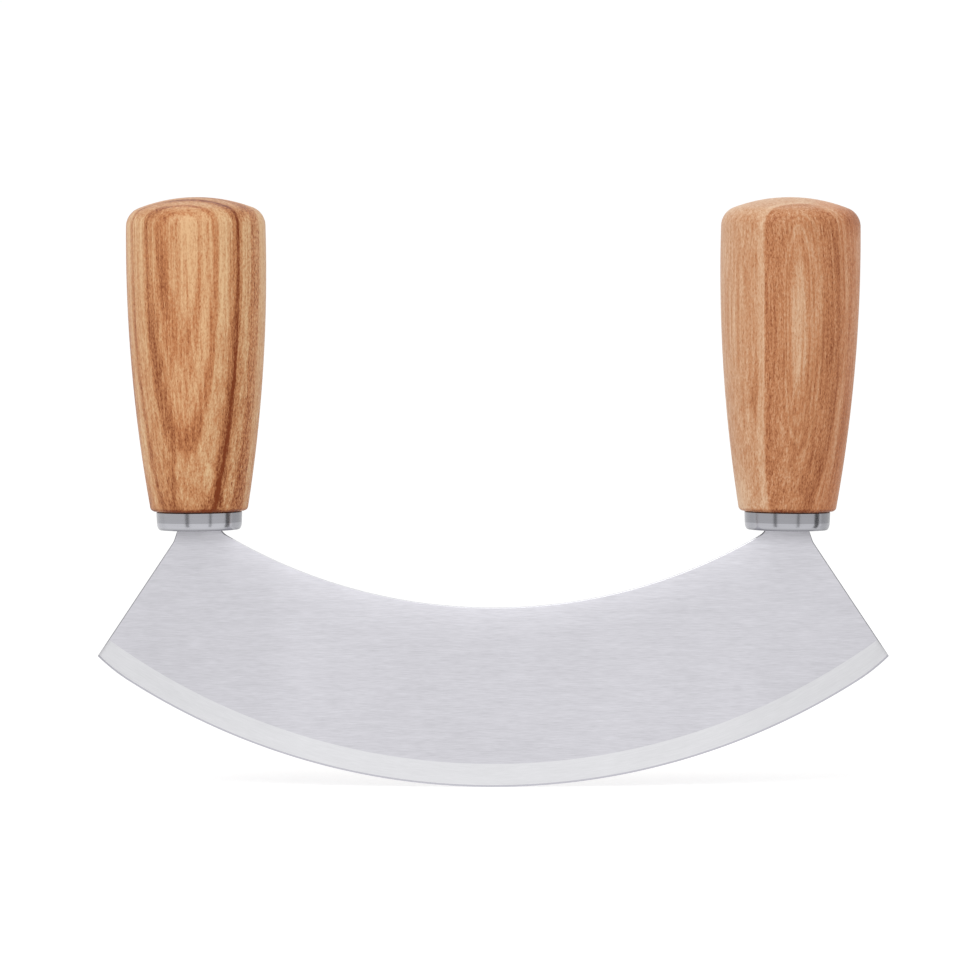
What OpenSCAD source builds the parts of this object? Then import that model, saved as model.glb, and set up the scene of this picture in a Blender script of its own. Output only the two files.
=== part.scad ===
// Mezzaluna: a crescent blade that two upright turned handles rock over a board.
// +X runs along the blade, +Y points away from the user and +Z points up.
// The origin is under the middle of the blade, level with the lowest point of its edge.

/* [Blade] */
// Length from tip to tip
blade_l = 200; // [180:1:230]
// Radius of the cutting edge
edge_r = 171.4; // [155:0.1:200]
// Depth of the steel in the middle, from the edge to the back
blade_depth = 45.5; // [38:0.5:52]
// Thickness of the steel
blade_t = 1.8; // [1.4:0.1:3]
// How far the edge is drawn in at each tip
tip_lift = 0.8; // [0.3:0.1:1.5]
// Length of edge over which it is drawn in at each tip
tip_curl_l = 10; // [6:0.5:16]

/* [Grind] */
// Width of the ground bevel
bevel_w = 5.9; // [3:0.1:10]
// Width of the sharpened strip along the edge
honed_w = 0.35; // [0.2:0.05:0.8]
// Thickness of the steel where the sharpened strip begins
honed_t = 0.3; // [0.2:0.05:0.6]
// Thickness left at the very edge
edge_t = 0.06; // [0.04:0.01:0.15]

/* [Necks] */
// Distance from a tip in to the axis of its handle, along X
handle_inset = 25.8; // [22:0.1:30]
// Height of the neck's seat under the ferrule, above the tip
seat_rise = 32; // [28:0.5:38]
// Width of the neck where it meets the ferrule
neck_w = 11; // [9:0.5:13]
// Height of the neck on its outer side
neck_h = 3; // [2:0.1:4]
// How far the neck widens on its outer side
neck_flare = 1; // [0.5:0.1:1.5]
// Radius in the corner between the neck and the straight end
neck_outer_r = 5; // [2:0.5:7]
// Height of the neck on its inner side
throat_h = 0.9; // [0.7:0.1:1.5]
// How far the neck widens on its inner side
throat_flare = 0.6; // [0.3:0.1:1]
// Radius in the corner between the neck and the hollow back
throat_r = 3.5; // [1:0.5:4]

/* [Tangs] */
// Width of the tang inside the handle
tang_w = 7; // [5:0.5:7.5]
// Steel ground off each face of the tang, so that it passes the slot
tang_relief = 0.1; // [0.05:0.05:0.2]
// Length of the tang above the ferrule's underside
tang_l = 52; // [35:1:60]

/* [Ferrules] */
// Outer diameter of the ferrule
ferrule_d = 21.7; // [20:0.1:23]
// Height of the ferrule
ferrule_h = 4.6; // [3.5:0.1:7]
// Thickness of the ferrule's wall
ferrule_wall = 1; // [0.6:0.1:1.5]
// Thickness of the ferrule's base
ferrule_base = 1; // [0.8:0.1:1.5]
// Radius of the ferrule's lower corner
ferrule_round = 1.25; // [0.8:0.05:1.5]

/* [Handles] */
// Height of the handle's crown above the ferrule's underside
crown_z = 83.9; // [75:0.1:100]
// Largest diameter of the handle
handle_d = 35.3; // [32:0.1:38]
// Distance from the crown down to the largest diameter
belly_drop = 14.6; // [12:0.1:20]
// Radius of the long flank that tapers down to the ferrule
flank_r = 385; // [340:5:600]
// Radius of the domed crown
dome_r = 40; // [32:0.5:55]
// Radius of the shoulder between the dome and the flank
shoulder_r = 5; // [2:0.5:6]
// Radius of the corner at the foot of the wood
foot_round = 1.2; // [0.5:0.1:2]
// Lean of each handle away from the other, in degrees
lean = 0.6; // [0:0.1:3]

/* [Fits] */
// Diameter of the hole that takes the tang
bore_d = 8.5; // [8:0.1:10]
// Room for resin above the end of the tang
bore_end = 2; // [1:0.5:4]
// Gap around the tang in the ferrule's slot
slot_gap = 0.2; // [0.1:0.05:0.4]
// Gap between the spigot of the wood and the ferrule around it
spigot_gap = 0.05; // [0.02:0.01:0.1]
// Gap between the foot of the wood and the ferrule's rim
seam_gap = 0.15; // [0.05:0.05:0.3]
// Gap between the wood and the cured resin
bond_gap = 0.02; // [0.01:0.01:0.05]

/* [Hidden] */
$fn = 128;
// Facets of the blade's large circles
large_fn = 512;

LEFT = -1;
RIGHT = 1;
// Straight steps in a small round, and in a long one
small_steps = 6;
long_steps = 12;
// How far a cutting shape runs past what it cuts
past = 5;
// How far the tang is rooted in the neck
root = 0.5;

handle_x = blade_l / 2 - handle_inset;
edge_centre = [0, edge_r];
tip = [blade_l / 2, edge_r - sqrt(pow(edge_r - tip_lift, 2) - pow(blade_l / 2, 2))];
seat_z = tip.y + seat_rise;
tang_t = blade_t - 2 * tang_relief;
spigot_r = ferrule_d / 2 - ferrule_wall - spigot_gap;
foot_z = ferrule_h + seam_gap;
bore_top = tang_l + bore_end;

// A round stretch of n straight steps about centre c, from angle a0 to angle a1
function arc(c, r, a0, a1, n) =
    [for (i = [0:n]) let (a = a0 + (a1 - a0) * i / n) c + r * [cos(a), sin(a)]];

function heading(v) = atan2(v.y, v.x);

function unit(v) = v / norm(v);

// The angle nearest to a among those that differ from b by whole turns
function near(a, b) = b + 360 * round((a - b) / 360);

// The corner p between the points a and b, rounded to radius r
function rounded(a, p, b, r, n = small_steps) =
    let (
        u = unit(a - p),
        v = unit(b - p),
        half = acos(u * v) / 2,
        c = p + unit(u + v) * r / sin(half),
        a0 = heading(p + u * r / tan(half) - c),
        a1 = heading(p + v * r / tan(half) - c)
    )
    arc(c, r, a0, near(a0, a1), n);

// The centre of a circle inside two others, touching both, on their outer side
function nested(c1, r1, c2, r2, r) =
    let (
        d = norm(c2 - c1),
        u = (c2 - c1) / d,
        k = (pow(r1 - r, 2) - pow(r2 - r, 2) + d * d) / (2 * d),
        h = sqrt(pow(r1 - r, 2) - k * k)
    )
    c1 + k * u + h * [-u.y, u.x];

function mirrored(points) =
    [for (i = [len(points) - 1:-1:0]) [-points[i].x, points[i].y]];

// A point on the seat under the right handle, dx outwards from the handle's axis
function on_seat(dx) = [handle_x, seat_z] + dx * [cos(lean), -sin(lean)];

// The edge near the right tip, from where it leaves the main radius up to the tip
function tip_curl() =
    let (
        w = tip - edge_centre,
        turn = tip_curl_l / edge_r * 180 / PI,
        a = heading(w) - turn,
        u = [cos(a), sin(a)],
        r = (w * w - 2 * edge_r * w * u + edge_r * edge_r) / (2 * (edge_r - w * u)),
        c = edge_centre + (edge_r - r) * u,
        points = arc(c, r, a, heading(tip - c), small_steps)
    )
    // The first step is drawn back past the edge, so that it cuts the main radius cleanly
    concat([3 * points[0] - 2 * points[1]], [for (i = [1:small_steps]) points[i]]);

module blank_outline() {
    curl = tip_curl();
    neck_foot = [handle_x + neck_w / 2 + neck_flare, seat_z - neck_h];
    side = concat(
        [[curl[0].x, -past]],
        curl,
        rounded(tip, neck_foot, on_seat(neck_w / 2), neck_outer_r),
        [on_seat(neck_w / 2), on_seat(-neck_w / 2)]
    );
    polygon(concat(side, mirrored(side)));
}

// The hollow between the necks, down to the concave back
module hollow_outline() {
    neck_top = on_seat(-neck_w / 2);
    throat = [handle_x - neck_w / 2 - throat_flare, seat_z - throat_h];
    rise = throat.y - blade_depth;
    back_r = (throat.x * throat.x + rise * rise) / (2 * rise);
    below = [0, throat.y - throat.x * tan(asin(throat.x / back_r))];
    side = concat(
        rounded(below, throat, neck_top, throat_r),
        [neck_top + past * (neck_top - throat)]
    );
    intersection() {
        polygon(concat([below], side, mirrored(side)));
        translate([0, blade_depth + back_r]) circle(back_r, $fn = large_fn);
    }
}

// A disc with the bevel and the sharpened strip turned on its rim
module ground_disc() {
    face = blade_t / 2;
    side = [
        [0, face],
        [edge_r - bevel_w, face],
        [edge_r - honed_w, honed_t / 2],
        [edge_r, edge_t / 2]
    ];
    translate([0, 0, edge_r]) rotate([90, 0, 0]) rotate_extrude($fn = large_fn)
        polygon(concat(side, [for (i = [len(side) - 1:-1:0]) [side[i].x, -side[i].y]]));
}

// Stands on the seat of one neck, with +Z along the handle's axis
module on_neck(side) {
    translate([side * handle_x, 0, seat_z]) rotate([0, side * lean, 0]) children();
}

module tang(gap = 0) {
    width = tang_w + 2 * gap;
    thickness = tang_t + 2 * gap;
    translate([-width / 2, -thickness / 2, -root]) cube([width, thickness, tang_l + root]);
}

module blade() {
    color([0.82, 0.82, 0.84]) union() {
        intersection() {
            ground_disc();
            rotate([90, 0, 0]) linear_extrude(blade_t + past, center = true) difference() {
                blank_outline();
                hollow_outline();
            }
        }
        for (side = [LEFT, RIGHT]) on_neck(side) tang();
    }
}

// A drawn steel cup that caps the spigot, slotted for the tang
module ferrule(side) {
    r = ferrule_d / 2;
    color([0.63, 0.63, 0.66]) on_neck(side) difference() {
        rotate_extrude() polygon(concat(
            [[0, 0]],
            arc([r - ferrule_round, ferrule_round], ferrule_round, -90, 0, small_steps),
            [[r, ferrule_h], [r - ferrule_wall, ferrule_h]],
            [[r - ferrule_wall, ferrule_base], [0, ferrule_base]]
        ));
        tang(slot_gap);
    }
}

// Half of the handle's section, with the spigot that the ferrule holds
function handle_section() =
    let (
        flank_c = [handle_d / 2 - flank_r, crown_z - belly_drop],
        dome_c = [0, crown_z - dome_r],
        foot_up = foot_z + foot_round,
        foot_reach = sqrt(pow(flank_r - foot_round, 2) - pow(flank_c.y - foot_up, 2)),
        foot_c = [flank_c.x + foot_reach, foot_up],
        shoulder_c = nested(flank_c, flank_r, dome_c, dome_r, shoulder_r),
        flank_a0 = heading(foot_c - flank_c),
        flank_a1 = heading(shoulder_c - flank_c),
        dome_a = heading(shoulder_c - dome_c)
    )
    concat(
        [[0, ferrule_base], [spigot_r, ferrule_base], [spigot_r, foot_z]],
        arc(foot_c, foot_round, -90, flank_a0, small_steps),
        arc(flank_c, flank_r, flank_a0, flank_a1, long_steps),
        arc(shoulder_c, shoulder_r, flank_a1, dome_a, small_steps),
        arc(dome_c, dome_r, dome_a, 90, long_steps)
    );

// A turned wooden grip, bored from below for the tang
module handle(side) {
    color([0.76, 0.54, 0.34]) on_neck(side) difference() {
        rotate_extrude() polygon(handle_section());
        cylinder(d = bore_d, h = bore_top);
    }
}

// The cured resin that fills the bore around the tang
module tang_adhesive(side) {
    color([0.86, 0.80, 0.60]) on_neck(side) difference() {
        translate([0, 0, ferrule_base])
            cylinder(d = bore_d - 2 * bond_gap, h = bore_top - bond_gap - ferrule_base);
        tang();
    }
}

blade();
ferrule(LEFT);  // left_ferrule
ferrule(RIGHT);  // right_ferrule
handle(LEFT);  // left_handle
handle(RIGHT);  // right_handle
tang_adhesive(LEFT);  // left_tang_adhesive
tang_adhesive(RIGHT);  // right_tang_adhesive
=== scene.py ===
"""The looks of a mezzaluna: a brushed and ground blade, turned ferrules and figured wooden handles.

Lengths are in metres unless a name says otherwise. +X runs along the blade, +Y points away from
the user and +Z points up. The origin is under the middle of the blade, level with its edge.
"""

from __future__ import annotations

import logging
import math
from dataclasses import dataclass
from enum import Enum

import bmesh
import bpy
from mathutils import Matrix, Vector

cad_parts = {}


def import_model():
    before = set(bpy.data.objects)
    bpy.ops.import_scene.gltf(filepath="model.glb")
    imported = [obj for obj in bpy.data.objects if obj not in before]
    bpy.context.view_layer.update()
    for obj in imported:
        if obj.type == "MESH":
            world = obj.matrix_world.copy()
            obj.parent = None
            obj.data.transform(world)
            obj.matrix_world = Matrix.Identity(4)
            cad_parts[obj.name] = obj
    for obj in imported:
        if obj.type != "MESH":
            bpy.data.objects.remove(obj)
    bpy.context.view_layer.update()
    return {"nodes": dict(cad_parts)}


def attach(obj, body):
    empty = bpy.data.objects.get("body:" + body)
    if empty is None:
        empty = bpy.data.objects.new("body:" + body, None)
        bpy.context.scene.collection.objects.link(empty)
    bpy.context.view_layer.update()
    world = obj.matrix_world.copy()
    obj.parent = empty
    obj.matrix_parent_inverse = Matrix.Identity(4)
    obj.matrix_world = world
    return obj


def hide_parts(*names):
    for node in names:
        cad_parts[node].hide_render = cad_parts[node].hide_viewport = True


LOG = logging.getLogger("mezzaluna")
BODY = "root"
MILLIMETRE = 0.001

Socket = bpy.types.NodeSocket
Feed = float | int | bool | tuple | Socket
Colour = tuple[int, int, int]
Corner = tuple[float, float, float]


class Side(Enum):
    """One of the two handles."""

    LEFT = -1
    RIGHT = 1

    @property
    def word(self) -> str:
        """The side's name, as in the names of its pieces."""
        return self.name.lower()


class Lay(Enum):
    """Which way the fine lines of a steel finish run."""

    ALONG_BLADE = "along the blade"
    ALONG_EDGE = "along the cutting edge"
    AROUND_AXIS = "around the handle's axis"


class Along(Enum):
    """The way that a shade changes in, as a part of a place."""

    LENGTH = 0
    HEIGHT = 2


def linear(colour: Colour) -> tuple[float, float, float, float]:
    """Turns a colour as it shows on a screen into the numbers that a shader takes.

    Args:
        colour: Red, green and blue from 0 to 255.

    Returns:
        Linear red, green and blue, and a full alpha.
    """
    parts = [c / 255 for c in colour]
    bent = [p / 12.92 if p <= 0.04045 else ((p + 0.055) / 1.055) ** 2.4 for p in parts]
    return (*bent, 1.0)


# Plane outlines, as points of two coordinates


def heading(way: Vector) -> float:
    """The angle of a direction in its plane."""
    return math.atan2(way.y, way.x)


def arc(centre: Vector, radius: float, start: float, end: float, steps: int) -> list[Vector]:
    """Points along a round stretch.

    Args:
        centre: The circle's centre.
        radius: Its radius.
        start: Angle of the first point.
        end: Angle of the last point.
        steps: Number of straight steps between them.

    Returns:
        One point more than there are steps.
    """
    angles = [start + (end - start) * i / steps for i in range(steps + 1)]
    return [centre + radius * Vector((math.cos(a), math.sin(a))) for a in angles]


def rounded(before: Vector, corner: Vector, after: Vector, radius: float, steps: int) -> list[Vector]:
    """Points that take a corner in a round.

    Args:
        before: A point on the line that comes to the corner.
        corner: The corner itself.
        after: A point on the line that leaves it.
        radius: The round's radius.
        steps: Number of straight steps in it.

    Returns:
        The round's points, in order.
    """
    back = (before - corner).normalized()
    on = (after - corner).normalized()
    half = back.angle(on) / 2
    centre = corner + (back + on).normalized() * radius / math.sin(half)
    end = heading(corner + on * radius / math.tan(half) - centre)
    start = heading(corner + back * radius / math.tan(half) - centre)
    return arc(centre, radius, end + math.remainder(start - end, math.tau), end, steps)


def nested(outer: tuple[Vector, float], other: tuple[Vector, float], radius: float) -> Vector:
    """Finds the centre of a circle that touches two others from inside.

    Args:
        outer: Centre and radius of the first circle.
        other: Centre and radius of the second.
        radius: Radius of the circle inside them.

    Returns:
        The centre that lies left of the line from the first centre to the second.
    """
    (a, radius_a), (b, radius_b) = outer, other
    apart = (b - a).length
    along = (b - a) / apart
    reach = ((radius_a - radius) ** 2 - (radius_b - radius) ** 2 + apart**2) / (2 * apart)
    rise = math.sqrt((radius_a - radius) ** 2 - reach**2)
    return a + reach * along + rise * Vector((-along.y, along.x))


class Wiring:
    """Places the nodes of one tree and joins them."""

    def __init__(self, tree: bpy.types.NodeTree) -> None:
        """Starts on a tree, which may hold nodes already."""
        self.tree = tree

    def node(
        self, kind: str, feeds: dict[str | int, Feed] | None = None, **settings: object
    ) -> bpy.types.Node:
        """Adds a node.

        Args:
            kind: The node's type.
            feeds: A value or another node's output for each input, by name or number.
            settings: The node's own properties.

        Returns:
            The node.
        """
        made = self.tree.nodes.new(kind)
        for name, value in settings.items():
            setattr(made, name, value)
        for key, value in (feeds or {}).items():
            self.feed(made.inputs[key], value)
        return made

    def feed(self, socket: Socket, value: Feed) -> None:
        """Links an output to an input, or sets the input's value.

        Args:
            socket: The input.
            value: The output or the value.
        """
        if isinstance(value, Socket):
            self.tree.links.new(value, socket)
        else:
            socket.default_value = value

    def math(self, operation: str, *feeds: Feed) -> Socket:
        """Adds a Math node and returns its output."""
        return self.node("ShaderNodeMath", dict(enumerate(feeds)), operation=operation).outputs[0]

    def vector(self, operation: str, *feeds: Feed) -> Socket:
        """Adds a Vector Math node and returns its vector."""
        return self.node("ShaderNodeVectorMath", dict(enumerate(feeds)), operation=operation).outputs[0]

    def length(self, value: Feed) -> Socket:
        """The length of a vector."""
        return self.node("ShaderNodeVectorMath", {0: value}, operation="LENGTH").outputs["Value"]

    def split(self, value: Feed) -> tuple[Socket, Socket, Socket]:
        """The three parts of a vector."""
        return tuple(self.node("ShaderNodeSeparateXYZ", {0: value}).outputs)

    def join(self, x: Feed, y: Feed, z: Feed) -> Socket:
        """A vector from its three parts."""
        return self.node("ShaderNodeCombineXYZ", {0: x, 1: y, 2: z}).outputs[0]

    def spread(self, value: Feed, low: float, high: float, start: float = 0.0, end: float = 1.0) -> Socket:
        """Eases a value from start to end as it goes from low to high.

        Args:
            value: What is read.
            low: Where the change begins.
            high: Where it ends.
            start: The result at low and below.
            end: The result at high and above.

        Returns:
            The result.
        """
        feeds = {0: value, 1: low, 2: high, 3: start, 4: end}
        node = self.node("ShaderNodeMapRange", feeds, interpolation_type="SMOOTHSTEP")
        return node.outputs[0]

    def blend(self, share: Feed, first: Feed, second: Feed, way: str = "MIX") -> Socket:
        """Mixes two colours.

        Args:
            share: How much of the second there is, up to 1.
            first: The first colour.
            second: The second colour.
            way: How the second goes over the first.

        Returns:
            The mixed colour.
        """
        feeds = {0: share, 6: first, 7: second}
        return self.node("ShaderNodeMix", feeds, data_type="RGBA", blend_type=way).outputs[2]

    def noise(self, place: Feed, detail: float = 2.0, roughness: float = 0.5, scale: float = 1.0) -> Socket:
        """Cloudy noise around 0.5.

        Args:
            place: Where it is read, in units of its own grain.
            detail: How many finer layers it has.
            roughness: How strong each finer layer is.
            scale: A further scale on the place.

        Returns:
            The noise.
        """
        feeds = {"Vector": place, "Scale": scale, "Detail": detail, "Roughness": roughness}
        return self.node("ShaderNodeTexNoise", feeds, noise_dimensions="3D").outputs[0]

    def swing(self, value: Feed, amount: Feed) -> Socket:
        """Turns noise around 0.5 into a swing around 0.

        Args:
            value: The noise.
            amount: How far the swing goes either way.

        Returns:
            The swing.
        """
        centred = self.math("SUBTRACT", value, 0.5)
        return self.math("MULTIPLY", centred, self.math("MULTIPLY", amount, 2.0))


def new_group(name: str, kind: str, inputs: dict[str, str], outputs: dict[str, str]) -> bpy.types.NodeTree:
    """Makes an empty node group with named sockets.

    Args:
        name: The group's name.
        kind: The type of its tree.
        inputs: The type of each input, by name.
        outputs: The type of each output, by name.

    Returns:
        The group's tree.
    """
    tree = bpy.data.node_groups.new(name, kind)
    for label, socket in inputs.items():
        tree.interface.new_socket(name=label, in_out="INPUT", socket_type=socket)
    for label, socket in outputs.items():
        tree.interface.new_socket(name=label, in_out="OUTPUT", socket_type=socket)
    return tree


@dataclass(frozen=True)
class Grain:
    """Noise drawn out along the grain, by its cycles to a millimetre across and along it."""

    across: float
    along: float
    detail: float
    roughness: float = 0.5


class Effects:
    """Shader groups that more than one finish uses."""

    SWAY = Grain(0.07, 0.035, detail=1.0)
    FRAY = Grain(1.1, 0.07, detail=2.0)
    DRIFT = Grain(0.16, 0.02, detail=2.0)
    FIBRES = Grain(1.4, 0.03, detail=3.0, roughness=0.65)
    FLECKS = Grain(3.6, 1.15, detail=1.0, roughness=0.6)
    PORES = Grain(4.0, 1.2, detail=1.0)
    OPEN_PORES = (0.56, 0.7)

    FIBRE_TONE = 0.58
    FLECK_TONE = 0.3
    COARSE_FLECK_TONE = 0.46
    PORE_TONE = 0.09
    COARSE_PORE_TONE = 0.26
    WOOD_ROUGHNESS = 0.4
    PORE_ROUGHNESS = 0.16
    FIBRE_GLOSS = 0.15

    LINE_ROUGHNESS = 0.62
    BAND_SCALE = (0.3, 0.2, 0.2)
    CLOUD_ROUGHNESS = 0.6
    WISP_SCALE = (2.0, 2.0, 5.0)
    CLOUD_REACH = (0.45, 0.7)
    WISP_REACH = (0.35, 0.7)

    def __init__(self) -> None:
        """Builds every group once."""
        self.lines = self.fine_lines()
        self.handling = self.handling_marks()
        self.growth = self.wood_growth()
        self.surface = self.wood_surface()

    @staticmethod
    def place(wires: Wiring, group: bpy.types.NodeTree, feeds: dict[str, Feed]) -> bpy.types.Node:
        """Puts a group into a material.

        Args:
            wires: The material's wiring.
            group: The group.
            feeds: A value or another node's output for each of the group's inputs.

        Returns:
            The group's node.
        """
        node = wires.node("ShaderNodeGroup", node_tree=group)
        for label, value in feeds.items():
            wires.feed(node.inputs[label], value)
        return node

    def fine_lines(self) -> bpy.types.NodeTree:
        """Fine lines left by a belt or a lathe tool.

        Returns:
            A group that reads a place in units of one line's length and width.
        """
        tree = new_group(
            "fine_lines",
            "ShaderNodeTree",
            {"Place": "NodeSocketVector"},
            {"Lines": "NodeSocketFloat", "Bands": "NodeSocketFloat"},
        )
        wires = Wiring(tree)
        place = wires.node("NodeGroupInput").outputs["Place"]
        fine = wires.noise(place, detail=3.0, roughness=self.LINE_ROUGHNESS)
        bands = wires.noise(wires.vector("MULTIPLY", place, self.BAND_SCALE), detail=2.0)
        end = wires.node("NodeGroupOutput")
        wires.feed(end.inputs["Lines"], fine)
        wires.feed(end.inputs["Bands"], bands)
        return tree

    def handling_marks(self) -> bpy.types.NodeTree:
        """Faint marks of cloths and fingers.

        Returns:
            A group that reads a place in millimetres and gives where the surface is a little duller.
        """
        tree = new_group(
            "handling_marks",
            "ShaderNodeTree",
            {"Place": "NodeSocketVector", "Size": "NodeSocketFloat"},
            {"Marks": "NodeSocketFloat"},
        )
        wires = Wiring(tree)
        start = wires.node("NodeGroupInput")
        place = wires.vector("DIVIDE", start.outputs["Place"], wires.join(*[start.outputs["Size"]] * 3))
        clouds = wires.noise(place, detail=4.0, roughness=self.CLOUD_ROUGHNESS)
        wisps = wires.noise(wires.vector("MULTIPLY", place, self.WISP_SCALE), detail=3.0)
        clouds = wires.spread(clouds, *self.CLOUD_REACH)
        marks = wires.math("MULTIPLY", clouds, wires.spread(wisps, *self.WISP_REACH))
        wires.feed(wires.node("NodeGroupOutput").inputs["Marks"], marks)
        return tree

    def wood_growth(self) -> bpy.types.NodeTree:
        """How the tree grew, read at a place in millimetres in a log whose pith runs up Z.

        The rings are read at one place and the fibres at another, so that rings may bend apart
        from the grain.

        Returns:
            A group that gives the ring distance, fibres, flecks, pores and a slow drift of tone.
        """
        inputs = dict.fromkeys(("Place", "Grain"), "NodeSocketVector")
        inputs |= dict.fromkeys(("Sway", "Fray"), "NodeSocketFloat")
        outputs = {
            "Distance": "NodeSocketFloat",
            "Fibres": "NodeSocketFloat",
            "Flecks": "NodeSocketFloat",
            "Pores": "NodeSocketFloat",
            "Drift": "NodeSocketFloat",
        }
        tree = new_group("wood_growth", "ShaderNodeTree", inputs, outputs)
        wires = Wiring(tree)
        start = wires.node("NodeGroupInput")

        def drawn(grain: Grain) -> Socket:
            """Adds the noise of one kind of grain.

            Args:
                grain: The kind.

            Returns:
                The noise.
            """
            scale = (grain.across, grain.across, grain.along)
            place = wires.vector("MULTIPLY", start.outputs["Grain"], scale)
            return wires.noise(place, grain.detail, grain.roughness)

        radius = wires.length(wires.vector("MULTIPLY", start.outputs["Place"], (1.0, 1.0, 0.0)))
        sway = wires.swing(drawn(self.SWAY), start.outputs["Sway"])
        fray = wires.swing(drawn(self.FRAY), start.outputs["Fray"])
        distance = wires.math("ADD", radius, wires.math("ADD", sway, fray))
        pores = wires.spread(drawn(self.PORES), *self.OPEN_PORES)
        end = wires.node("NodeGroupOutput")
        wires.feed(end.inputs["Distance"], distance)
        wires.feed(end.inputs["Fibres"], drawn(self.FIBRES))
        wires.feed(end.inputs["Flecks"], drawn(self.FLECKS))
        wires.feed(end.inputs["Pores"], pores)
        wires.feed(end.inputs["Drift"], drawn(self.DRIFT))
        return tree

    def wood_surface(self) -> bpy.types.NodeTree:
        """The turned and oiled surface, from what the rings and fibres are at a place.

        Returns:
            A group that gives the colour, roughness and height.
        """
        numbers = ("Tone", "Coarse", "Red", "Contrast", "Fibres", "Flecks", "Pores")
        colours = ("Dark", "Middle", "Light", "Flush")
        inputs = dict.fromkeys(numbers, "NodeSocketFloat") | dict.fromkeys(colours, "NodeSocketColor")
        outputs = {
            "Color": "NodeSocketColor",
            "Roughness": "NodeSocketFloat",
            "Height": "NodeSocketFloat",
        }
        tree = new_group("wood_surface", "ShaderNodeTree", inputs, outputs)
        wires = Wiring(tree)
        given = wires.node("NodeGroupInput").outputs
        coarse = given["Coarse"]
        fleck_tone = wires.math("MULTIPLY_ADD", coarse, self.COARSE_FLECK_TONE, self.FLECK_TONE)
        pore_tone = wires.math("MULTIPLY_ADD", coarse, self.COARSE_PORE_TONE, self.PORE_TONE)
        fibre = wires.swing(given["Fibres"], self.FIBRE_TONE)
        fleck = wires.swing(given["Flecks"], fleck_tone)
        pore = wires.math("MULTIPLY", given["Pores"], pore_tone)
        figure = wires.math("SUBTRACT", wires.math("ADD", fibre, fleck), pore)
        tone = wires.math("MULTIPLY_ADD", figure, given["Contrast"], given["Tone"])
        lower = wires.node("ShaderNodeMapRange", {0: tone, 1: 0.0, 2: 0.5}).outputs[0]
        upper = wires.node("ShaderNodeMapRange", {0: tone, 1: 0.5, 2: 1.0}).outputs[0]
        colour = wires.blend(upper, wires.blend(lower, given["Dark"], given["Middle"]), given["Light"])
        colour = wires.blend(given["Red"], colour, given["Flush"], "MULTIPLY")
        rough = wires.math("MULTIPLY_ADD", given["Pores"], self.PORE_ROUGHNESS, self.WOOD_ROUGHNESS)
        rough = wires.math("SUBTRACT", rough, wires.math("MULTIPLY", fibre, self.FIBRE_GLOSS))
        height = wires.math("SUBTRACT", wires.math("ADD", fibre, fleck), given["Pores"])
        end = wires.node("NodeGroupOutput")
        wires.feed(end.inputs["Color"], colour)
        wires.feed(end.inputs["Roughness"], rough)
        wires.feed(end.inputs["Height"], height)
        return tree


def new_material(name: str) -> tuple[bpy.types.Material, Wiring, bpy.types.Node]:
    """Starts a material.

    Args:
        name: The material's name.

    Returns:
        The material, its wiring and its Principled node, which feeds the output.
    """
    material = bpy.data.materials.new(name)
    material.use_nodes = True
    material.node_tree.nodes.clear()
    wires = Wiring(material.node_tree)
    shader = wires.node("ShaderNodeBsdfPrincipled")
    wires.node("ShaderNodeOutputMaterial", {"Surface": shader.outputs[0]})
    return material, wires, shader


@dataclass(frozen=True)
class Seat:
    """Where a handle stands: its foot on the blade, and its lean away from the other handle."""

    side: Side
    reach: float
    height: float
    lean: float

    @property
    def foot(self) -> Vector:
        """The point on the handle's axis at the ferrule's underside."""
        return Vector((self.side.value * self.reach, 0.0, self.height))

    @property
    def turn(self) -> float:
        """The lean as a turn about +Y."""
        return self.side.value * self.lean


@dataclass(frozen=True)
class Shade:
    """A change of tone along one way, eased from its first gain to its second between two places.

    Where it names a side, only that half of the piece takes it.
    """

    along: Along
    start_mm: float
    end_mm: float
    first: float
    second: float
    side: Side | None = None


@dataclass(frozen=True)
class Polish:
    """A painted reflection: a brighter strip outside an arc about a centre above the origin."""

    centre_mm: float
    radius_mm: float
    reach_mm: float
    gain: float
    fall: float = 3.0


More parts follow.
